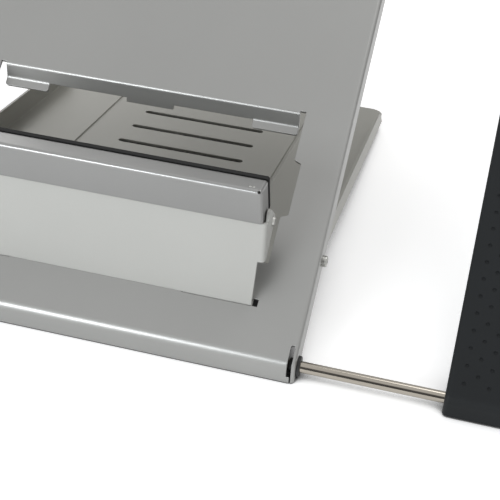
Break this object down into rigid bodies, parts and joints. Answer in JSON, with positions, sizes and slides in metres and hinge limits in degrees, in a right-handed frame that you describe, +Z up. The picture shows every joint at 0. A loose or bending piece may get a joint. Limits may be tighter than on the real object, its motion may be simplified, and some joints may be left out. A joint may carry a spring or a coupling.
{
  "type": "laptop stand",
  "caption": "Sheet-metal laptop stand: sloping panel with a wide window, hinged rear leg, leaning ledge bar on an upright bracket, and dimpled side wings that slide on rods.",
  "frame": {"origin": "on the desk plane, under the middle of the whole stand", "axes": "+X to the user's right along the rods, +Y away from the user, +Z up from the desk"},
  "size_m": [0.6432, 0.3996, 0.2589],
  "materials": {
    "panel_paint": "satin",
    "leg_paint": "satin",
    "bracket_paint": "satin",
    "ledge_paint": "satin",
    "rod_steel": "bright drawn",
    "fastener_steel": "zinc plated",
    "wing_plastic": "dimpled matt",
    "bush_plastic": "matt",
    "washer_nylon": "matt",
    "foot_rubber": "matt"
  },
  "bodies": {
    "base": {"main_panel": "panel_paint", "front_bracket": "bracket_paint", "bracket_rivets": "fastener_steel", "front_rod_guides": "panel_paint", "rear_rod_guides": "panel_paint", "outer_bushes": "bush_plastic", "guide_bushes": "bush_plastic", "front_feet": "foot_rubber", "leg_bolts": "fastener_steel", "leg_lock_nuts": "fastener_steel", "leg_washers": "washer_nylon", "ledge_rivets": "fastener_steel", "ledge_washers": "washer_nylon"},
    "leg": {"rear_leg": "leg_paint", "rear_feet": "foot_rubber"},
    "ledge": {"ledge_bar": "ledge_paint", "ledge_back_pad": "foot_rubber"},
    "right_wing": {"right_wing_plate": "wing_plastic", "right_wing_saddles": "bush_plastic", "right_wing_rods": "rod_steel", "right_rod_stops": "fastener_steel", "right_saddle_screws": "fastener_steel"},
    "left_wing": {"left_wing_plate": "wing_plastic", "left_wing_saddles": "bush_plastic", "left_wing_rods": "rod_steel", "left_rod_stops": "fastener_steel", "left_saddle_screws": "fastener_steel"}
  },
  "joints": [
    {"name": "leg_hinge", "type": "hinge", "parent": "base", "child": "leg", "pos_m": [0, -0.12749, 0.05355], "axis": [1, 0, 0], "range_deg": [0, 41.7]},
    {"name": "ledge_hinge", "type": "hinge", "parent": "base", "child": "ledge", "pos_m": [0, -0.15367, 0.0963], "axis": [-1, 0, 0], "range_deg": [0, 107]},
    {"name": "right_wing_slide", "type": "slide", "parent": "base", "child": "right_wing", "axis": [-1, 0, 0], "range_m": [0, 0.095]},
    {"name": "left_wing_slide", "type": "slide", "parent": "base", "child": "left_wing", "axis": [1, 0, 0], "range_m": [0, 0.095]}
  ]
}
